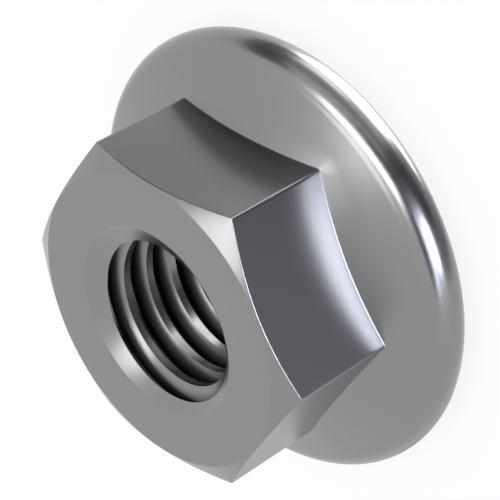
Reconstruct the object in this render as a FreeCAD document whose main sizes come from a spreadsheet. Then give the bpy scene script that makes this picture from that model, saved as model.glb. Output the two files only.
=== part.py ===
import FreeCAD, Part
import math
import os
import Sketcher

# Serrated flange nut, size M8, right-hand coarse thread, formed and tapped as one piece of steel.
# Millimetres. The origin is the centre of the bearing face, +Z runs along the thread towards the
# hexagon's free face, and two corners of the hexagon lie on the X axis.

# Driving dimensions
# Each row is the name of a size, its value, and what it measures.
SIZES = [
    ("across_flats", 13.0, "hexagon, flat to opposite flat"),
    ("nut_height", 8.0, "tips of the serrations to the free face"),
    ("chamfer_diameter", 12.88, "circle that the corner chamfer leaves on the free face"),
    ("chamfer_angle", 28.0, "corner chamfer, measured from the free face, degrees"),
    ("flange_diameter", 19.62, "widest circle of the flange, over its round rim"),
    ("rim_thickness", 2.16, "full-round rim of the flange, top to bottom"),
    ("flange_slope", 20.7, "fall of the flange from the hexagon to the rim, degrees"),
    ("relief_angle", 25.0, "cone between the bearing face and the rim, degrees"),
    ("recess_diameter", 10.8, "recess in the bearing face, inside the ring of serrations"),
    ("recess_depth", 0.40, "recess below the tips of the serrations"),
    ("tooth_count", 24, "serrations round the bearing face"),
    ("tooth_depth", 0.36, "serration at the rim, tip to root"),
    ("tooth_tip_width", 0.50, "flat left on the tip of each serration, at the rim"),
    ("tooth_step_width", 0.12, "width of the steep flank of a serration, at the rim"),
    ("tooth_runout", 0.08, "how far the serrations run on into the relief cone"),
    ("thread_diameter", 8.0, "major diameter of the thread, at the flat root of its groove"),
    ("thread_pitch", 1.25, "thread pitch"),
    ("thread_angle", 60.0, "angle between the flanks of the thread, degrees"),
    ("thread_depth_share", 0.625, "depth of the groove, of the sharp triangle of its flanks"),
    ("thread_root_share", 0.125, "width of the groove's flat root, of the pitch"),
    ("thread_phase", 0.19, "height of the middle of a groove over the bearing face, above the +X axis"),
    ("sink_diameter", 8.32, "countersink at each mouth of the bore"),
    ("sink_angle", 120.0, "countersink, full angle of the cone, degrees"),
    ("cut_margin", 0.5, "how far a cutting tool starts outside the metal"),
    ("thread_margin", 0.1, "how far the thread tool starts inside the bore"),
]
value = {name: number for name, number, _ in SIZES}
HEX_SIDES = 6
HALF_SIDE = 180 / HEX_SIDES  # degrees from a corner of the hexagon to the middle of a flat
NODE = "flange_nut"

doc = FreeCAD.newDocument("serrated_flange_nut")

# The sheet that drives the model
sheet = doc.addObject("Spreadsheet::Sheet", "sizes")
for row, (name, number, meaning) in enumerate(SIZES, start=1):
    sheet.set(f"A{row}", name)
    sheet.set(f"B{row}", str(number))
    sheet.set(f"C{row}", meaning)
    sheet.setAlias(f"B{row}", name)
doc.recompute()

# Radii and heights that several sketches share, as expressions on the sheet
CORNER_RADIUS = f"sizes.across_flats / 2 / cos({HALF_SIDE} deg)"
RIM_RADIUS = "sizes.rim_thickness / 2"
RIM_CENTRE = "(sizes.flange_diameter - sizes.rim_thickness) / 2"
SINK_RADIUS = "sizes.sink_diameter / 2"
# The bearing face ends where the relief cone, which is tangent to the round rim, comes down to it.
BEARING_RADIUS = f"({RIM_CENTRE} + {RIM_RADIUS} * tan(sizes.relief_angle * 0.5 deg))"
SERRATION_END = f"{BEARING_RADIUS} + sizes.tooth_runout"
# The basic thread form is a sharp triangle of flanks, a pitch wide, cut off at both ends.
SHARP_HEIGHT = "sizes.thread_pitch / 2 / tan(sizes.thread_angle * 0.5 deg)"
MINOR_RADIUS = f"(sizes.thread_diameter / 2 - sizes.thread_depth_share * {SHARP_HEIGHT})"
ROOT_WIDTH = "sizes.thread_pitch * sizes.thread_root_share"

# Their present values, which only place the sketch lines before they are constrained
corner_radius = value["across_flats"] / 2 / math.cos(math.radians(HALF_SIDE))
rim_radius = value["rim_thickness"] / 2
rim_centre = value["flange_diameter"] / 2 - rim_radius
slope = math.radians(value["flange_slope"])
sharp_height = value["thread_pitch"] / 2 / math.tan(math.radians(value["thread_angle"] / 2))
minor_radius = value["thread_diameter"] / 2 - sharp_height * value["thread_depth_share"]
relief = math.radians(value["relief_angle"])
bearing_radius = rim_centre + rim_radius * math.tan(relief / 2)
serration_end = bearing_radius + value["tooth_runout"]

# Sketcher's own names: the ends of a line or arc, its centre, and the sketch axes
START, END, CENTRE = range(1, 4)
X_AXIS, Y_AXIS = range(-1, -3, -1)
ORIGIN = (X_AXIS, START)


def new_sketch(body, name, plane, offset=None):
    """A sketch on one of the body's origin planes, moved along its normal by an expression."""
    sketch = body.newObject("Sketcher::SketchObject", name)
    plane_feature = next(f for f in body.Origin.OriginFeatures if f.Role == plane)
    sketch.AttachmentSupport = [(plane_feature, "")]
    sketch.MapMode = "FlatFace"
    if offset:
        sketch.setExpression("AttachmentOffset.Base.z", offset)
    return sketch


def bind(sketch, expression, *constraint):
    """Adds a dimension to the sketch and ties it to the sheet."""
    index = sketch.addConstraint(Sketcher.Constraint(*constraint))
    sketch.setExpression(f"Constraints[{index}]", expression)


def distance(sketch, direction, geometry, point, expression):
    """Dimensions a point from the sketch's origin, along X or along Y."""
    here = sketch.getPoint(geometry, point)
    present = here.x if direction == "DistanceX" else here.y
    bind(sketch, expression, direction, *ORIGIN, geometry, point, present)


def outline(sketch, corners):
    """A closed ring of lines, one from each corner to the next. Gives the lines' numbers."""
    count = len(corners)
    points = [FreeCAD.Vector(x, y, 0) for x, y in corners]
    first = sketch.GeometryCount
    for i in range(count):
        sketch.addGeometry(Part.LineSegment(points[i], points[(i + 1) % count]), False)
    for i in range(count):
        follower = first + (i + 1) % count
        sketch.addConstraint(Sketcher.Constraint("Coincident", first + i, END, follower, START))
    return range(first, first + count)


def revolved(body, kind, name, sketch):
    """A full turn of the sketch about its upright axis, which is the nut's own axis."""
    feature = body.newObject(kind, name)
    feature.Profile = (sketch, [""])
    feature.ReferenceAxis = (sketch, ["V_Axis"])
    feature.Angle = 360
    feature.Refine = False
    return feature


def flange(body):
    """The flange: a recessed bearing face, a relief cone, a round rim and a cone to the hexagon."""
    sketch = new_sketch(body, "flange_profile", "XZ_Plane")
    recess_radius = value["recess_diameter"] / 2
    recess_depth = value["recess_depth"]
    neck_radius = value["sink_diameter"] / 2
    tangent_x = rim_centre + rim_radius * math.sin(slope)
    tangent_z = rim_radius + rim_radius * math.cos(slope)
    neck_z = tangent_z + (tangent_x - neck_radius) * math.tan(slope)
    relief_x = rim_centre + rim_radius * math.sin(relief)
    relief_z = rim_radius - rim_radius * math.cos(relief)

    def line(x0, z0, x1, z1):
        return sketch.addGeometry(
            Part.LineSegment(FreeCAD.Vector(x0, z0, 0), FreeCAD.Vector(x1, z1, 0)), False
        )

    axis = line(0, neck_z, 0, recess_depth)
    recess_floor = line(0, recess_depth, recess_radius, recess_depth)
    recess_wall = line(recess_radius, recess_depth, recess_radius, 0)
    bearing = line(recess_radius, 0, bearing_radius, 0)
    relief_cone = line(bearing_radius, 0, relief_x, relief_z)
    rim_circle = Part.Circle(FreeCAD.Vector(rim_centre, rim_radius, 0), FreeCAD.Vector(0, 0, 1), rim_radius)
    rim_arc = Part.ArcOfCircle(rim_circle, relief - math.pi / 2, math.pi / 2 - slope)
    rim = sketch.addGeometry(rim_arc, False)
    cone = line(tangent_x, tangent_z, neck_radius, neck_z)
    neck_top = line(neck_radius, neck_z, 0, neck_z)

    chain = ((axis, recess_floor), (recess_floor, recess_wall), (recess_wall, bearing),
             (bearing, relief_cone), (cone, neck_top), (neck_top, axis))
    for before, after in chain:
        sketch.addConstraint(Sketcher.Constraint("Coincident", before, END, after, START))
    sketch.addConstraint(Sketcher.Constraint("Tangent", relief_cone, END, rim, START))
    sketch.addConstraint(Sketcher.Constraint("Tangent", rim, END, cone, START))
    for level in (recess_floor, bearing, neck_top):
        sketch.addConstraint(Sketcher.Constraint("Horizontal", level))
    sketch.addConstraint(Sketcher.Constraint("Vertical", recess_wall))
    sketch.addConstraint(Sketcher.Constraint("PointOnObject", axis, START, Y_AXIS))
    sketch.addConstraint(Sketcher.Constraint("PointOnObject", axis, END, Y_AXIS))
    sketch.addConstraint(Sketcher.Constraint("PointOnObject", bearing, START, X_AXIS))
    distance(sketch, "DistanceY", recess_floor, END, "sizes.recess_depth")
    distance(sketch, "DistanceX", recess_floor, END, "sizes.recess_diameter / 2")
    distance(sketch, "DistanceX", rim, CENTRE, RIM_CENTRE)
    distance(sketch, "DistanceY", rim, CENTRE, RIM_RADIUS)
    distance(sketch, "DistanceX", neck_top, START, SINK_RADIUS)
    bind(sketch, RIM_RADIUS, "Radius", rim, rim_radius)
    bind(sketch, "sizes.relief_angle * 1 deg", "Angle", relief_cone, relief)
    bind(sketch, "(180 - sizes.flange_slope) * 1 deg", "Angle", cone, math.pi - slope)
    return revolved(body, "PartDesign::Revolution", "flange", sketch)


def hexagon(body):
    """The hexagon, which starts inside the flange, at the middle of its rim."""
    sketch = new_sketch(body, "hexagon_outline", "XY_Plane", RIM_RADIUS)
    turns = [math.radians(2 * HALF_SIDE * i) for i in range(HEX_SIDES)]
    outline(sketch, [(corner_radius * math.cos(a), corner_radius * math.sin(a)) for a in turns])
    circle = Part.Circle(FreeCAD.Vector(0, 0, 0), FreeCAD.Vector(0, 0, 1), corner_radius)
    corner_circle = sketch.addGeometry(circle, True)
    sketch.addConstraint(Sketcher.Constraint("Coincident", corner_circle, CENTRE, *ORIGIN))
    bind(sketch, CORNER_RADIUS, "Radius", corner_circle, corner_radius)
    for side in range(HEX_SIDES):
        sketch.addConstraint(Sketcher.Constraint("PointOnObject", side, START, corner_circle))
    for side in range(1, HEX_SIDES):
        sketch.addConstraint(Sketcher.Constraint("Equal", 0, side))
    sketch.addConstraint(Sketcher.Constraint("PointOnObject", 0, START, X_AXIS))
    feature = body.newObject("PartDesign::Pad", "hexagon")
    feature.Profile = (sketch, [""])
    feature.setExpression("Length", f"sizes.nut_height - {RIM_RADIUS}")
    feature.Refine = False
    return feature


def corner_chamfer(body):
    """The turned chamfer, which leaves a round free face and falls away at the six corners."""
    sketch = new_sketch(body, "chamfer_profile", "XZ_Plane")
    inner = value["chamfer_diameter"] / 2
    outer = corner_radius + value["cut_margin"]
    top = value["nut_height"]
    angle = math.radians(value["chamfer_angle"])
    foot = top - (outer - inner) * math.tan(angle)
    cone, side, level = outline(sketch, [(inner, top), (outer, foot), (outer, top)])
    sketch.addConstraint(Sketcher.Constraint("Vertical", side))
    sketch.addConstraint(Sketcher.Constraint("Horizontal", level))
    distance(sketch, "DistanceX", cone, START, "sizes.chamfer_diameter / 2")
    distance(sketch, "DistanceY", cone, START, "sizes.nut_height")
    distance(sketch, "DistanceX", side, START, f"{CORNER_RADIUS} + sizes.cut_margin")
    bind(sketch, "-sizes.chamfer_angle * 1 deg", "Angle", cone, -angle)
    return revolved(body, "PartDesign::Groove", "corner_chamfer", sketch)


def serration_section(body, name, radius_expression, radius):
    """The gap between two serrations, cut square to the +X axis at one radius.

    Seen from the rim, the gap drops steeply from the tip on one side and climbs a long ramp to the
    tip on the other. The ramps lead when the nut is tightened, and the steps bite when it loosens.
    Width and depth shrink evenly towards the nut's axis, so that the step and the ramp are flat.
    """
    sketch = new_sketch(body, name, "YZ_Plane", radius_expression)
    share = radius / serration_end
    share_expression = f"(({radius_expression}) / ({SERRATION_END}))"
    half_pitch = radius * math.tan(math.pi / value["tooth_count"])
    half_gap = half_pitch - share * value["tooth_tip_width"] / 2
    half_gap_expression = (
        f"(({radius_expression}) * tan(180 deg / sizes.tooth_count)"
        f" - {share_expression} * sizes.tooth_tip_width / 2)"
    )
    root_y = share * value["tooth_step_width"] - half_gap
    below_z = -value["cut_margin"]
    below, ramp_side, ramp, step, step_side = outline(
        sketch,
        [(-half_gap, below_z), (half_gap, below_z), (half_gap, 0),
         (root_y, share * value["tooth_depth"]), (-half_gap, 0)],
    )
    sketch.addConstraint(Sketcher.Constraint("Horizontal", below))
    sketch.addConstraint(Sketcher.Constraint("Vertical", ramp_side))
    sketch.addConstraint(Sketcher.Constraint("Vertical", step_side))
    sketch.addConstraint(Sketcher.Constraint("PointOnObject", ramp, START, X_AXIS))
    sketch.addConstraint(Sketcher.Constraint("PointOnObject", step_side, START, X_AXIS))
    distance(sketch, "DistanceX", ramp, START, half_gap_expression)
    distance(sketch, "DistanceX", step_side, START, f"-{half_gap_expression}")
    step_width = f"{share_expression} * sizes.tooth_step_width"
    distance(sketch, "DistanceX", step, START, f"{step_width} - {half_gap_expression}")
    distance(sketch, "DistanceY", step, START, f"{share_expression} * sizes.tooth_depth")
    distance(sketch, "DistanceY", below, START, "-sizes.cut_margin")
    return sketch


def serrations(body):
    """One tapered gap from the recess to the relief cone, repeated round the bearing face."""
    inner = value["recess_diameter"] / 2 - value["cut_margin"]
    inner_expression = "sizes.recess_diameter / 2 - sizes.cut_margin"
    gap = body.newObject("PartDesign::SubtractiveLoft", "serration_gap")
    gap.Profile = (serration_section(body, "gap_at_recess", inner_expression, inner), [""])
    gap.Sections = [(serration_section(body, "gap_at_rim", SERRATION_END, serration_end), [""])]
    gap.Ruled = True
    gap.Refine = False
    doc.recompute()
    ring = body.newObject("PartDesign::PolarPattern", "serrations")
    ring.Originals = [gap]
    ring.Axis = (next(f for f in body.Origin.OriginFeatures if f.Role == "Z_Axis"), [""])
    ring.Angle = 360
    ring.setExpression("Occurrences", "sizes.tooth_count")
    ring.Refine = False
    body.Tip = ring
    return ring


def bore(body):
    """The bore, at the thread's minor diameter.

    It is drawn as six arcs, one behind each flat, so the crests of the thread come out as short
    faces that each span one sixth of a turn.
    """
    sketch = new_sketch(body, "bore_outline", "XY_Plane", "sizes.nut_height")
    circle = Part.Circle(FreeCAD.Vector(0, 0, 0), FreeCAD.Vector(0, 0, 1), minor_radius)
    sixth = 2 * math.pi / HEX_SIDES
    for i in range(HEX_SIDES):
        sketch.addGeometry(Part.ArcOfCircle(circle, sixth * i, sixth * (i + 1)), False)
        sketch.addConstraint(Sketcher.Constraint("Coincident", i, CENTRE, *ORIGIN))
    for i in range(HEX_SIDES):
        sketch.addConstraint(Sketcher.Constraint("Coincident", i, END, (i + 1) % HEX_SIDES, START))
    for i in range(1, HEX_SIDES):
        sketch.addConstraint(Sketcher.Constraint("Angle", i, sixth))
    sketch.addConstraint(Sketcher.Constraint("PointOnObject", 0, START, X_AXIS))
    bind(sketch, MINOR_RADIUS, "Radius", 0, minor_radius)
    feature = body.newObject("PartDesign::Pocket", "bore")
    feature.Profile = (sketch, [""])
    feature.Type = "ThroughAll"
    feature.Refine = False
    return feature


def countersinks(body):
    """A cone at each mouth of the bore: at the free face, and in the floor of the recess."""
    sketch = new_sketch(body, "countersink_profiles", "XZ_Plane")
    radius = value["sink_diameter"] / 2
    depth = radius / math.tan(math.radians(value["sink_angle"] / 2))
    mouths = (
        (value["nut_height"], "sizes.nut_height", -1),
        (value["recess_depth"], "sizes.recess_depth", 1),
    )
    for mouth, mouth_expression, inward in mouths:
        level, cone, axis = outline(
            sketch, [(0, mouth), (radius, mouth), (0, mouth + inward * depth)]
        )
        sketch.addConstraint(Sketcher.Constraint("Horizontal", level))
        sketch.addConstraint(Sketcher.Constraint("PointOnObject", level, START, Y_AXIS))
        sketch.addConstraint(Sketcher.Constraint("PointOnObject", axis, START, Y_AXIS))
        distance(sketch, "DistanceX", cone, START, SINK_RADIUS)
        distance(sketch, "DistanceY", cone, START, mouth_expression)
        apex = f"{mouth_expression} + {inward} * {SINK_RADIUS} / tan(sizes.sink_angle * 0.5 deg)"
        distance(sketch, "DistanceY", axis, START, apex)
    return revolved(body, "PartDesign::Groove", "countersinks", sketch)


def thread(body):
    """The thread groove, a trapezoid with a flat root, swept up a right-hand helix.

    The helix starts one pitch below the bearing face and ends past the free face, so the groove
    runs out cleanly through both countersinks.
    """
    sketch = new_sketch(body, "thread_profile", "XZ_Plane")
    half_flank = math.radians(value["thread_angle"] / 2)
    inside = minor_radius - value["thread_margin"]
    outside = value["thread_diameter"] / 2
    height = value["thread_phase"] - value["thread_pitch"]
    root_rise = value["thread_pitch"] * value["thread_root_share"] / 2
    mouth_rise = root_rise + (outside - inside) * math.tan(half_flank)
    lower, root, upper, mouth = outline(
        sketch,
        [(inside, height - mouth_rise), (outside, height - root_rise),
         (outside, height + root_rise), (inside, height + mouth_rise)],
    )
    sketch.addConstraint(Sketcher.Constraint("Vertical", root))
    sketch.addConstraint(Sketcher.Constraint("Vertical", mouth))
    bind(sketch, "sizes.thread_angle * 0.5 deg", "Angle", lower, half_flank)
    bind(sketch, "180 deg - sizes.thread_angle * 0.5 deg", "Angle", upper, math.pi - half_flank)
    distance(sketch, "DistanceX", root, START, "sizes.thread_diameter / 2")
    distance(sketch, "DistanceX", mouth, START, f"{MINOR_RADIUS} - sizes.thread_margin")
    root_height = f"sizes.thread_phase - sizes.thread_pitch - {ROOT_WIDTH} / 2"
    distance(sketch, "DistanceY", root, START, root_height)
    bind(sketch, ROOT_WIDTH, "DistanceY", root, START, root, END, 2 * root_rise)
    doc.recompute()
    feature = body.newObject("PartDesign::SubtractiveHelix", "thread")
    feature.Profile = (sketch, [""])
    feature.ReferenceAxis = (sketch, ["V_Axis"])
    feature.Mode = "pitch-height-angle"
    feature.setExpression("Pitch", "sizes.thread_pitch")
    feature.setExpression("Height", "sizes.nut_height + 2 * sizes.thread_pitch")
    feature.LeftHanded = False
    feature.Refine = False
    return feature


# The nut, feature by feature, in the order it would be formed, turned and tapped
body = doc.addObject("PartDesign::Body", NODE)
body.Label = NODE
STEPS = (flange, hexagon, corner_chamfer, serrations, bore, countersinks, thread)
for step in STEPS:
    feature = step(body)
    doc.recompute()
    print(f"{feature.Name:15s} volume {feature.Shape.Volume:9.3f} mm3")

# Nothing is written unless every object is sound
for obj in doc.Objects:
    if {"Invalid", "Error"} & set(obj.State):
        raise RuntimeError(f"{obj.Name} did not compute: {obj.State}")
if body.Shape.isNull() or not body.Shape.isValid() or len(body.Shape.Solids) != 1:
    raise RuntimeError("the nut is not one valid solid")

os.makedirs("parts", exist_ok=True)
body.Shape.exportStep(f"parts/{NODE}.step")
print(f"{NODE}: one solid, {len(body.Shape.Faces)} faces")
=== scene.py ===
# %% [markdown]
# A serrated flange nut, size M8: a hexagon and a wide round flange formed from one blank of steel,
# tapped through, with a ring of small ramps under the flange that bite into what they are screwed
# against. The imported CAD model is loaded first. Its box gives the flange's width and the nut's
# height, and the finished piece has to fit inside it.

# %% Load the CAD frame
import math
import bmesh
import bpy
from mathutils import Matrix, Vector


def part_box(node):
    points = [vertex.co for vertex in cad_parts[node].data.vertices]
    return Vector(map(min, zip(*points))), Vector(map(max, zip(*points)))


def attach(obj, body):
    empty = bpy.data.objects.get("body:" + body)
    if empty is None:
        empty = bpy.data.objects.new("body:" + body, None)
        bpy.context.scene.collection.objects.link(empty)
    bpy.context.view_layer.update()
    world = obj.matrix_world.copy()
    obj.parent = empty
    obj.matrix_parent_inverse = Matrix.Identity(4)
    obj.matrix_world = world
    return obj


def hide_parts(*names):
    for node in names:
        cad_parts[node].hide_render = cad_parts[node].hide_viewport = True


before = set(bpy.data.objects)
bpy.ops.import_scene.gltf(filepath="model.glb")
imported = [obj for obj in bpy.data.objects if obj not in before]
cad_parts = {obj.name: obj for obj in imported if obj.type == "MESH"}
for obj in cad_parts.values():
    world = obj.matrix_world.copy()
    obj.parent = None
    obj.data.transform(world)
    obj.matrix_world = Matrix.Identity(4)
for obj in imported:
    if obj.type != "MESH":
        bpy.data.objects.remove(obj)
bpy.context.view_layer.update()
MM = 0.001
low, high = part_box("flange_nut")
NUT_HEIGHT = round((high.z - low.z) / MM, 2)
FLANGE_DIAMETER = round((high.x - low.x) / MM, 2)
print(f"nut height {NUT_HEIGHT} mm, flange diameter {FLANGE_DIAMETER} mm")

# %% [markdown]
# Sizes are millimetres until the last step, because a nut this small is awkward to think about in
# metres. Every edge of a formed nut is slightly rounded by the dies and by tumbling. The rounding
# is under a tenth of a millimetre, but it catches the light as a thin bright line, and without it
# a metal part looks like paper.

# %% Sizes of the nut
ACROSS_FLATS = 13.0
FACE_DIAMETER = 12.88           # circle that the corner chamfer leaves on the free face
CHAMFER_ANGLE = math.radians(28)
RIM_THICKNESS = 2.16
FLANGE_SLOPE = math.radians(20.7)
RELIEF_ANGLE = math.radians(25)
RECESS_DIAMETER = 10.8
RECESS_DEPTH = 0.40
SERRATION_RUNOUT = 0.08         # how far the serrations run on into the relief cone
SINK_DIAMETER = 8.32
SINK_ANGLE = math.radians(120)
CORE_RADIUS = 3.0               # the blank stays solid inside this until the thread is cut
SIDE_ANGLE = math.radians(60)   # what one side of the hexagon spans, seen from the axis
HALF_SIDE = math.radians(30)
EDGE_RADIUS = 0.06              # rounding of the hexagon's edges
MOUTH_RADIUS = 0.03             # rounding where a cone or recess meets a flat face
JUNCTION_RADIUS = 0.09          # hollow between the hexagon and the flange

corner_radius = ACROSS_FLATS / 2 / math.cos(HALF_SIDE)
face_radius = FACE_DIAMETER / 2
rim_radius = RIM_THICKNESS / 2
rim_centre = FLANGE_DIAMETER / 2 - rim_radius
bearing_radius = rim_centre + rim_radius * math.tan(RELIEF_ANGLE / 2)
print(f"across corners {2 * corner_radius:.2f} mm")

# %% [markdown]
# Everything turned on the nut shares one axis, so the blank is a half section spun once round Z.
# The section is written as its few real corners, and a helper replaces each corner by a small arc
# that is tangent to both of its lines, as a lathe tool's nose or a worn die would leave it.


# %% Round the corners of a section
ARC_STEP = math.radians(16)     # turn between two points of an arc


def rounded(corners):
    """Points along an open line of (x, y, radius) corners, with an arc at each that has a radius."""
    points = []
    for i, (x, y, radius) in enumerate(corners):
        here = Vector((x, y))
        if radius == 0:
            points.append(here)
            continue
        back = (Vector(corners[i - 1][:2]) - here).normalized()
        ahead = (Vector(corners[i + 1][:2]) - here).normalized()
        half = back.angle(ahead) / 2
        centre = here + (back + ahead).normalized() * radius / math.sin(half)
        first = here + back * radius / math.tan(half) - centre
        turn = (math.pi - 2 * half) * (1 if back.cross(ahead) < 0 else -1)
        steps = math.ceil(abs(turn) / ARC_STEP)
        for step in range(steps + 1):
            points.append(centre + Matrix.Rotation(turn * step / steps, 2) @ first)
    return points


# %% [markdown]
# Four surfaces of the nut are cones: the countersinks, the corner chamfer, the top of the flange
# and the relief below its rim. Each has a function that gives its height at a radius, so that the
# section, the hexagon and the serrations all read the same cones.


# %% Heights of the cones
def sink_height(radius):
    """How far a countersink has sunk below its mouth at this radius."""
    return (SINK_DIAMETER / 2 - radius) / math.tan(SINK_ANGLE / 2)


def flange_height(radius):
    """Top of the flange at this radius, on the cone that runs tangent into the round rim."""
    tangent = rim_centre + rim_radius * math.sin(FLANGE_SLOPE)
    return rim_radius * (1 + math.cos(FLANGE_SLOPE)) + (tangent - radius) * math.tan(FLANGE_SLOPE)


def chamfer_height(radius):
    """Height of the corner chamfer at this radius."""
    return NUT_HEIGHT - (radius - face_radius) * math.tan(CHAMFER_ANGLE)


def relief_height(radius):
    """Height of the relief cone, which rises from the bearing face to the round rim."""
    return (radius - bearing_radius) * math.tan(RELIEF_ANGLE)


print(f"flange meets the hexagon's corner {flange_height(corner_radius):.2f} mm up")

# %% [markdown]
# The half section starts on the axis, crosses the free face, goes down the hexagon's corner, out
# along the flange, round the rim, and comes back along the underside to the axis. The rim is half
# a circle, cut short where it runs into the two cones beside it.

# %% Section of the blank
RIM_STEPS = 28
rim_start = math.pi / 2 - FLANGE_SLOPE
rim_end = math.pi / 2 - RELIEF_ANGLE
rim_arc = []
for step in range(RIM_STEPS + 1):
    angle = rim_start - (rim_start + rim_end) * step / RIM_STEPS
    radius = rim_centre + rim_radius * math.cos(angle)
    rim_arc.append((radius, rim_radius * (1 + math.sin(angle)), 0))
serration_end = bearing_radius + SERRATION_RUNOUT
neck_middle = (corner_radius + rim_arc[0][0]) / 2

section = rounded(
    [
        (0, NUT_HEIGHT - sink_height(CORE_RADIUS), 0),
        (CORE_RADIUS, NUT_HEIGHT - sink_height(CORE_RADIUS), 0),
        (SINK_DIAMETER / 2, NUT_HEIGHT, MOUTH_RADIUS),
        (face_radius, NUT_HEIGHT, 0),
        (corner_radius, chamfer_height(corner_radius), EDGE_RADIUS),
        (corner_radius, flange_height(corner_radius), JUNCTION_RADIUS),
        (neck_middle, flange_height(neck_middle), 0),
        *rim_arc,
        (serration_end, relief_height(serration_end), 0),
        (bearing_radius, 0, 0),
        (RECESS_DIAMETER / 2, 0, MOUTH_RADIUS),
        (RECESS_DIAMETER / 2, RECESS_DEPTH, MOUTH_RADIUS),
        (SINK_DIAMETER / 2, RECESS_DEPTH, MOUTH_RADIUS),
        (CORE_RADIUS, RECESS_DEPTH + sink_height(CORE_RADIUS), 0),
        (0, RECESS_DEPTH + sink_height(CORE_RADIUS), 0),
    ]
)
print(f"{len(section)} points in the half section")

# %% [markdown]
# The serrations are shallow ramps that run straight out from the nut's axis. Each has a long slope
# that slides when the nut is tightened, a narrow flat tip, and a steep step that bites when the nut
# tries to turn back. Both get wider and deeper with the radius, as on the punch that forms them, so
# one outline, measured along the outer edge of the bearing face, serves them all.

# %% Section of one serration
TOOTH_DEPTH = 0.36
TIP_WIDTH = 0.50
STEP_WIDTH = 0.12
TOOTH_EDGE = 0.03               # rounding of a serration's edges
TEETH = 24
pitch_length = 2 * math.pi * serration_end / TEETH
gap_half = (pitch_length - TIP_WIDTH) / 2
root = STEP_WIDTH - gap_half
tooth = rounded(
    [
        (-pitch_length / 2, 0, 0),
        (-gap_half, 0, TOOTH_EDGE),
        (root, TOOTH_DEPTH, TOOTH_EDGE),
        ((root + gap_half) / 2, TOOTH_DEPTH / 2, 0),
        (gap_half, 0, TOOTH_EDGE),
        (pitch_length / 2, 0, 0),
    ]
)
COLUMNS_PER_TOOTH = len(tooth) - 1
print(f"{COLUMNS_PER_TOOTH} points from one serration to the next")

# %% [markdown]
# The spin takes one step for each point of each serration. That is enough for a smooth rim, and it
# divides by six, so a column of faces also lies on every corner of the hexagon. The copies that the
# spin leaves on the axis are merged into one point at each end.

# %% Spin the blank
HEX_SIDES = 6
COLUMNS = TEETH * COLUMNS_PER_TOOTH
COLUMNS_PER_SIDE = COLUMNS // HEX_SIDES
MERGE = 0.001                   # points closer than this are one point


def spun(points, steps, rise=0.0):
    """A new bmesh: the line of (x, z) points, spun one turn round Z, climbing by rise on the way."""
    shape = bmesh.new()
    row = [shape.verts.new((p.x, 0, p.y)) for p in points]
    edges = [shape.edges.new(pair) for pair in zip(row, row[1:])]
    bmesh.ops.spin(
        shape, geom=row + edges, cent=(0, 0, 0), axis=(0, 0, 1), dvec=(0, 0, rise / steps),
        angle=2 * math.pi, steps=steps, use_merge=rise == 0, use_duplicate=False,
    )
    bmesh.ops.remove_doubles(shape, verts=shape.verts, dist=MERGE)
    return shape


blank = spun(section, COLUMNS)
print(f"blank: {len(blank.faces)} faces")

# %% [markdown]
# The hexagon is pressed out of the round blank, as the forming die does it. Each column of points
# moves in to its own place on a hexagon with rounded corners. The chamfer and the flange stay
# on their own cones, so a point that moves inward also climbs the cone, and that draws the curved
# edges that every nut has where flat and cone meet. A boolean would give the same form, but with
# ragged faces along those curves, which show in polished metal.

# %% Press the six flats
EDGE_STEPS = 2                  # columns on each half of a rounded corner
half_flat = ACROSS_FLATS / 2 * math.tan(HALF_SIDE)
corner_reach = EDGE_RADIUS * math.tan(HALF_SIDE)


def hexagon_point(column):
    """Where a column meets the hexagon's outline, as (radius, angle)."""
    side, number = divmod(column, COLUMNS_PER_SIDE)
    mirrored = number > COLUMNS_PER_SIDE / 2
    number = COLUMNS_PER_SIDE - number if mirrored else number
    if number < EDGE_STEPS:
        turn = HALF_SIDE * number / EDGE_STEPS
        along = half_flat - corner_reach + EDGE_RADIUS * math.sin(HALF_SIDE - turn)
        across = ACROSS_FLATS / 2 - EDGE_RADIUS + EDGE_RADIUS * math.cos(HALF_SIDE - turn)
    else:
        share = (number - EDGE_STEPS) / (COLUMNS_PER_SIDE / 2 - EDGE_STEPS)
        along, across = (half_flat - corner_reach) * (1 - share), ACROSS_FLATS / 2
    lean = HALF_SIDE - math.atan2(along, across)
    angle = SIDE_ANGLE - lean if mirrored else lean
    return math.hypot(along, across), angle + SIDE_ANGLE * side


def polar(v):
    """Radius, angle and column number of a vertex of the blank."""
    angle = math.atan2(v.co.y, v.co.x) % (2 * math.pi)
    return math.hypot(v.co.x, v.co.y), angle, round(angle / (2 * math.pi) * COLUMNS) % COLUMNS


def place(v, radius, angle, z):
    """Moves a vertex to a radius, an angle and a height."""
    v.co = (radius * math.cos(angle), radius * math.sin(angle), z)


wall_top = chamfer_height(corner_radius) - 2 * EDGE_RADIUS
upper_start = corner_radius - EDGE_RADIUS
lower_end = corner_radius + JUNCTION_RADIUS
cone_end = rim_arc[0][0]
for v in blank.verts:
    radius, angle, column = polar(v)
    z = v.co.z
    if z > wall_top and radius > face_radius + MERGE:
        share, climb = (radius - face_radius) / (upper_start - face_radius), math.tan(CHAMFER_ANGLE)
    elif rim_radius < z < wall_top and corner_radius - MERGE < radius < cone_end:
        share, climb = (cone_end - radius) / (cone_end - lower_end), math.tan(FLANGE_SLOPE)
    else:
        continue
    share = min(share, 1)
    hex_radius, hex_angle = hexagon_point(column)
    swing = (hex_angle - angle + math.pi) % (2 * math.pi) - math.pi
    pull = (corner_radius - hex_radius) * share
    place(v, radius - pull, angle + swing * share, z + pull * climb)
print(f"hexagon pressed, corners rounded to {EDGE_RADIUS} mm")

# %% [markdown]
# The same columns are now shifted and lifted under the flange, each to its own place on the outline
# of a serration. The lift grows with the radius. Where a gap is deeper than the relief cone is high,
# it ends in a small upright wall.

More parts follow.
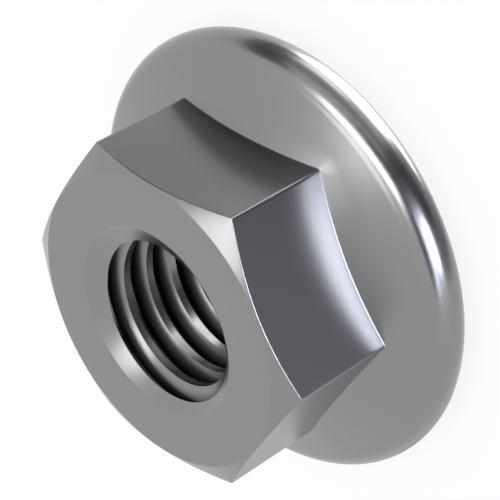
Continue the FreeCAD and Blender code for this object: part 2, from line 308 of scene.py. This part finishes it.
# %% Press the serrations
for v in blank.verts:
    radius, angle, column = polar(v)
    inner_edge = abs(radius - RECESS_DIAMETER / 2) < 2 * MOUTH_RADIUS and v.co.z < RECESS_DEPTH / 2
    outer_edge = v.co.z < MERGE and abs(radius - bearing_radius) < MERGE
    end_wall = abs(radius - serration_end) < MERGE and v.co.z < rim_radius
    if not (inner_edge or outer_edge or end_wall):
        continue
    tooth_number, point = divmod(column + COLUMNS_PER_TOOTH // 2, COLUMNS_PER_TOOTH)
    along, depth = tooth[point]
    angle = tooth_number * 2 * math.pi / TEETH + along / serration_end
    lift = depth / serration_end
    if outer_edge:
        radius = min(bearing_radius / (1 - lift / math.tan(RELIEF_ANGLE)), serration_end)
    height = v.co.z if end_wall else v.co.z + radius * lift
    place(v, radius, angle, height)
print(f"{TEETH} serrations, {TOOTH_DEPTH} mm deep")

# %% [markdown]
# A tap cuts the thread, so the thread is made as a tap too: one pitch of its outline, wound once
# round the axis while it climbs by one pitch. The flanks make the sixty degrees of a coarse M8
# thread, and the bottom of the groove is round, because a tap's worn crest leaves it so. The end of
# a turn lies exactly on the start of the turn above, so copies stacked a pitch apart and merged
# where they touch are one skin. Two cuts square to the axis and a lid on each make it a solid.

# %% Wind the tap
THREAD_PITCH = 1.25
THREAD_PHASE = 0.20             # middle of a groove above the +X axis, over the bearing face
LAND_WIDTH = 0.35
MINOR_RADIUS = 3.323
FLANK_SLOPE = math.radians(60)  # flank of the groove, measured from the wall of the bore
ROOT_RADIUS = 0.10
TAP_STEPS = 180
TAP_TURNS = 11
TURNS_BELOW = 3                 # the lowest turn lies wholly below the nut
TAP_OVERHANG = 0.5              # how far the cut tap sticks out at each end

groove_half = (THREAD_PITCH - LAND_WIDTH) / 2
sharp_radius = MINOR_RADIUS + groove_half * math.tan(FLANK_SLOPE)
middle = THREAD_PHASE - TURNS_BELOW * THREAD_PITCH
groove = rounded(
    [
        (MINOR_RADIUS, middle - THREAD_PITCH / 2, 0),
        (MINOR_RADIUS, middle - groove_half, 0),
        (sharp_radius, middle, ROOT_RADIUS),
        (MINOR_RADIUS, middle + groove_half, 0),
        (MINOR_RADIUS, middle + THREAD_PITCH / 2, 0),
    ]
)
tap = spun(groove, TAP_STEPS, THREAD_PITCH)
one_turn = tap.verts[:] + tap.edges[:] + tap.faces[:]
for turn in range(1, TAP_TURNS):
    copy = bmesh.ops.duplicate(tap, geom=one_turn)["geom"]
    stacked = [v for v in copy if isinstance(v, bmesh.types.BMVert)]
    bmesh.ops.translate(tap, verts=stacked, vec=(0, 0, turn * THREAD_PITCH))
bmesh.ops.remove_doubles(tap, verts=tap.verts, dist=MERGE)
for height, outward in ((-TAP_OVERHANG, -1), (NUT_HEIGHT + TAP_OVERHANG, 1)):
    everything = tap.verts[:] + tap.edges[:] + tap.faces[:]
    bmesh.ops.bisect_plane(
        tap, geom=everything, plane_co=(0, 0, height), plane_no=(0, 0, outward), clear_outer=True
    )
bmesh.ops.holes_fill(tap, edges=[e for e in tap.edges if e.is_boundary], sides=0)
thread_depth = max(p.x for p in groove) - MINOR_RADIUS
print(f"groove {2 * groove_half:.2f} mm wide and {thread_depth:.2f} mm deep")

# %% [markdown]
# Cutting with a boolean is right here, because the thread runs out through both countersinks along
# edges that are different at every turn. The exact solver keeps the solid closed.


# %% Cut the thread
def mesh_object(shape, name):
    """A new object that shows the bmesh, with its faces outward."""
    bmesh.ops.recalc_face_normals(shape, faces=shape.faces)
    mesh = bpy.data.meshes.new(name)
    shape.to_mesh(mesh)
    shape.free()
    made = bpy.data.objects.new(name, mesh)
    bpy.context.scene.collection.objects.link(made)
    return made


nut = mesh_object(blank, "nut_of_steel")
tap_object = mesh_object(tap, "tap")
cut = nut.modifiers.new("thread", "BOOLEAN")
cut.operation, cut.solver, cut.object = "DIFFERENCE", "EXACT", tap_object
tapped = bpy.data.meshes.new_from_object(nut.evaluated_get(bpy.context.evaluated_depsgraph_get()))
nut.modifiers.remove(cut)
nut.data = tapped
bpy.data.objects.remove(tap_object)
print(f"tapped: {len(tapped.polygons)} faces")

# %% [markdown]
# The finished shape goes from millimetres to the metres of the frame. Edges that turn by more than
# a few degrees stay crisp. Everything else is shaded smooth, and the weighted normals keep the six
# flats truly flat, so that all of the bending of light happens in the narrow rounded edges. Each
# point of the thread also remembers how many millimetres it lies behind the wall of the bore, and
# the steel's colour reads that later to paint shade into the bottom of the grooves.

# %% Finish the shape
SHARP_ANGLE = math.radians(22)
FINE_MERGE = MERGE / 10         # slivers that the boolean leaves
shape = bmesh.new()
shape.from_mesh(nut.data)
bmesh.ops.remove_doubles(shape, verts=shape.verts, dist=FINE_MERGE)
groove_depth = shape.verts.layers.float.new("groove_depth")
for v in shape.verts:
    radius, z = math.hypot(v.co.x, v.co.y), v.co.z
    if radius < SINK_DIAMETER / 2:
        below_mouth = min(NUT_HEIGHT - z, z - RECESS_DEPTH)
        wall = max(MINOR_RADIUS, SINK_DIAMETER / 2 - below_mouth * math.tan(SINK_ANGLE / 2))
        v[groove_depth] = max(radius - wall, 0)
bmesh.ops.scale(shape, vec=(MM, MM, MM), verts=shape.verts)
for face in shape.faces:
    face.smooth = True
for edge in shape.edges:
    edge.smooth = edge.calc_face_angle(0) < SHARP_ANGLE
open_edges = sum(not e.is_manifold for e in shape.edges)
shape.to_mesh(nut.data)
shape.free()
flat_shading = nut.modifiers.new("flat_shading", "WEIGHTED_NORMAL")
flat_shading.keep_sharp = True
print(f"edges that don't join two faces: {open_edges}")

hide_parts("flange_nut")
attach(nut, "root")

# %% [markdown]
# Colours are written as the hex values that a colour picker shows, and one function turns them into
# the linear light that shaders count in. One more adds a node and wires it, and that is all that
# the materials below need.


# %% Colour and node helpers
def linear(hex_colour):
    """The linear (r, g, b, 1) of an sRGB hex colour."""
    parts = (int(hex_colour[i : i + 2], 16) / 255 for i in (1, 3, 5))
    return (*(c / 12.92 if c <= 0.04045 else ((c + 0.055) / 1.055) ** 2.4 for c in parts), 1.0)


def add_node(tree, kind, settings=None, inputs=None):
    """Adds a node, sets its properties, and gives each input a value or a link from a socket.

    An input is named, or numbered where two sockets of a node share a name.
    """
    node = tree.nodes.new(kind)
    for name, setting in (settings or {}).items():
        setattr(node, name, setting)
    for name, given in (inputs or {}).items():
        if isinstance(given, bpy.types.NodeSocket):
            tree.links.new(given, node.inputs[name])
        else:
            node.inputs[name].default_value = given
    return node


def new_material(name):
    made = bpy.data.materials.new(name)
    made.use_nodes = True
    made.node_tree.nodes.clear()
    return made, made.node_tree


# %% [markdown]
# The steel is cold formed, tumbled bright and left plain under a thin film of oil. Its colour is a
# neutral middle grey, because the oil film and fine scratches take light away from the mirror. The
# surface is smooth enough to show soft shapes and too rough to show sharp ones. The bottom of the
# thread is painted dark, a painted shade that deepens with the depth in the groove, where the shadow
# of a deep groove falls. It gives the eye the black line in each groove that makes a thread read as
# deep.

# %% Cold formed steel
# The second colour is a painted shade, laid into the bottom of the thread grooves.
STEEL_GREY, PAINTED_SHADE_BLACK = "#8B8B8C", "#202022"
SMOOTHEST, ROUGHEST = 0.22, 0.26
GRAIN_MM = 0.25                 # tumbling marks, drawn coarser than they are so that they show
GRAIN_DETAIL = 3.0
SHADE_START_MM, SHADE_FULL_MM = 0.1, 0.6   # depth in the groove where the painted shade begins, is full
SHADE_COVER = 0.8                # how much of the steel's colour the full painted shade hides
MIX_A, MIX_B, MIX_RESULT = 6, 7, 2       # the colour sockets of a mix node

steel, tree = new_material("cold_formed_steel")
place_on_nut = add_node(tree, "ShaderNodeTexCoord")
grain = add_node(
    tree, "ShaderNodeTexNoise",
    inputs={
        "Vector": place_on_nut.outputs["Object"],
        "Scale": 1 / (GRAIN_MM * MM),
        "Detail": GRAIN_DETAIL,
    },
)
gloss = add_node(
    tree, "ShaderNodeMapRange",
    inputs={"Value": grain.outputs["Fac"], "To Min": SMOOTHEST, "To Max": ROUGHEST},
)
depth = add_node(tree, "ShaderNodeAttribute", {"attribute_name": "groove_depth"})
# Painted shade: the steel turns darker toward the bottom of each thread groove.
groove_shade = add_node(
    tree, "ShaderNodeMapRange", {"interpolation_type": "SMOOTHSTEP"},
    {
        "Value": depth.outputs["Fac"],
        "From Min": SHADE_START_MM,
        "From Max": SHADE_FULL_MM,
        "To Max": SHADE_COVER,
    },
)
tone = add_node(
    tree, "ShaderNodeMix", {"data_type": "RGBA"},
    {"Factor": groove_shade.outputs["Result"], MIX_A: linear(STEEL_GREY), MIX_B: linear(PAINTED_SHADE_BLACK)},
)
shader = add_node(
    tree, "ShaderNodeBsdfPrincipled",
    inputs={
        "Base Color": tone.outputs[MIX_RESULT],
        "Metallic": 1.0,
        "Roughness": gloss.outputs["Result"],
    },
)
add_node(tree, "ShaderNodeOutputMaterial", inputs={"Surface": shader.outputs["BSDF"]})
nut.data.materials.clear()
nut.data.materials.append(steel)
print(f"material: {steel.name}")

# %% [markdown]
# The nut is photographed as small metal parts are: on a white sheet that glows from below, under an
# even white tent, with a few bright and dark cards. Metal has almost no look of its own, and the
# cards are what draws its shape. They show in the metal alone. Four fifths of the sheet's white is
# its own glow, and the last fifth is light that falls on it, so the nut's shadow stays faint.

# %% Sheet and tent
WHITE = "#FFFFFF"
world = bpy.data.worlds.new("white_tent")
bpy.context.scene.world = world
world.use_nodes = True
world.node_tree.nodes.clear()
tent = add_node(
    world.node_tree, "ShaderNodeBackground", inputs={"Color": linear(WHITE), "Strength": 1.0}
)
add_node(world.node_tree, "ShaderNodeOutputWorld", inputs={"Surface": tent.outputs["Background"]})

FLOOR_WIDTH = 2.0               # metres
GLOW_SHARE = 0.8
UNDER, OVER = 1, 2              # the two shader sockets of a mix node
floor_shape = bmesh.new()
bmesh.ops.create_grid(floor_shape, x_segments=1, y_segments=1, size=FLOOR_WIDTH / 2)
floor = mesh_object(floor_shape, "white_sheet")
paper, tree = new_material("white_paper")
matt = add_node(tree, "ShaderNodeBsdfDiffuse", inputs={"Color": linear(WHITE)})
lit = add_node(tree, "ShaderNodeEmission", inputs={"Color": linear(WHITE), "Strength": 1.0})
sheet = add_node(
    tree, "ShaderNodeMixShader",
    inputs={"Fac": GLOW_SHARE, UNDER: matt.outputs["BSDF"], OVER: lit.outputs["Emission"]},
)
add_node(tree, "ShaderNodeOutputMaterial", inputs={"Surface": sheet.outputs["Shader"]})
floor.data.materials.append(paper)
floor.visible_glossy = False
floor.visible_shadow = False

# %% [markdown]
# A card is placed by the direction in which the nut sees it: a compass angle from +X, an angle
# above or below the level, and how wide and how high it looks from there, all in whole degrees. They
# were settled by trying small changes and keeping those that brought the reflections closer. Each
# hangs a little further out than the one before, so the first of two that overlap is what shows.

# %% Cards
NEAREST_CARD, CARD_GAP = 0.65, 0.15      # metres
CARDS = (
    # name, compass angle, elevation, width, height, colour, strength
    # the long white band along the upper arc of the rim
    ("softbox_high", 71, 53, 45, 19, WHITE, 6.5),
    # the thin dark line between that band and the pool of light in the rim
    ("flag_high", 30, 36, 62, 20, "#000000", 0.0),
    # the lavender band down the lit flat, and its echo on the rim
    ("softbox_side", 15, 1, 20, 20, "#EEF1FF", 15.0),
    # the soft upper end of that echo
    ("glow_side", 10, 24, 30, 18, "#E8EAFF", 6.5),
    # the shaded middle of the rim, between its two white bands
    ("flag_edge", 67, 26, 22, 14, WHITE, 0.36),
    # the darkest stretch of the rim, beside the lit flat
    ("flag_side", 42, -25, 38, 110, WHITE, 0.07),
    # the slate grey of the lit flat away from its lavender band
    ("flag_low", 14, -35, 32, 116, "#F0F4FF", 0.38),
    # the dark hollow of the upper flat along the flange
    ("flag_far", 130, -3, 23, 69, WHITE, 0.09),
    # the quiet grey of the upper flat, and the grey stripe on the rim above it
    ("flag_back", 94, 1, 74, 24, WHITE, 0.55),
    # the white outer edge of the rim
    ("glow_low", 100, -62, 45, 48, WHITE, 9.0),
    # the soft inner end of that edge
    ("glow_skirt", 115, -25, 48, 14, WHITE, 3.1),
    # the bright corner of the chamfer and the lit side of the countersink
    ("softbox_top", 110, 78, 24, 22, WHITE, 3.6),
    # a little shade on the chamfer's lowest corner, which mirrors at a low angle
    ("flag_corner", -107, -33, 32, 24, WHITE, 0.75),
)


def card(name, azimuth, elevation, width, height, colour, strength, distance):
    """A flat glowing card that faces the nut and shows only in its metal."""
    shape = bmesh.new()
    bmesh.ops.create_grid(shape, x_segments=1, y_segments=1, size=1)
    reach = [distance * math.tan(math.radians(a) / 2) for a in (width, height)]
    bmesh.ops.scale(shape, vec=(*reach, 1), verts=shape.verts)
    stand = (
        Matrix.Rotation(math.radians(azimuth - 90), 4, "Z")
        @ Matrix.Rotation(math.radians(elevation), 4, "X")
        @ Matrix.Translation((0, distance, 0))
        @ Matrix.Rotation(math.radians(90), 4, "X")
    )
    bmesh.ops.transform(shape, matrix=stand, verts=shape.verts)
    made = mesh_object(shape, name)
    material, tree = new_material(name)
    glow = add_node(
        tree, "ShaderNodeEmission", inputs={"Color": linear(colour), "Strength": strength}
    )
    add_node(tree, "ShaderNodeOutputMaterial", inputs={"Surface": glow.outputs["Emission"]})
    made.data.materials.append(material)
    made.visible_camera = made.visible_diffuse = made.visible_shadow = False


for number, settings in enumerate(CARDS):
    card(*settings, NEAREST_CARD + CARD_GAP * number)
print(f"{len(CARDS)} cards")

# %% [markdown]
# The camera stands where the photographer stood: level with the corner between two flats, a little
# above the nut, and rolled over so that the bore faces down to the left.

# %% Camera
CAMERA_PLACE = Vector((50.142, 51.180, 53.537)) * MM
CAMERA_AZIMUTH, CAMERA_ELEVATION, CAMERA_ROLL = 45.118, 35.602, -119.948
LENS_MM, SENSOR_MM = 154.0, 36.0
CLIP_NEAR, CLIP_FAR = 10 * MM, 10.0
view = bpy.data.objects.new("camera", bpy.data.cameras.new("camera"))
bpy.context.scene.collection.objects.link(view)
view.data.lens, view.data.sensor_width = LENS_MM, SENSOR_MM
view.data.clip_start, view.data.clip_end = CLIP_NEAR, CLIP_FAR
view.matrix_world = (
    Matrix.Translation(CAMERA_PLACE)
    @ Matrix.Rotation(math.radians(CAMERA_AZIMUTH + 90), 4, "Z")
    @ Matrix.Rotation(math.radians(90 - CAMERA_ELEVATION), 4, "X")
    @ Matrix.Rotation(math.radians(CAMERA_ROLL), 4, "Z")
)
bpy.context.scene.camera = view
bpy.context.scene.view_settings.view_transform = "Standard"
print(f"camera {CAMERA_PLACE.length / MM:.0f} mm from the nut")
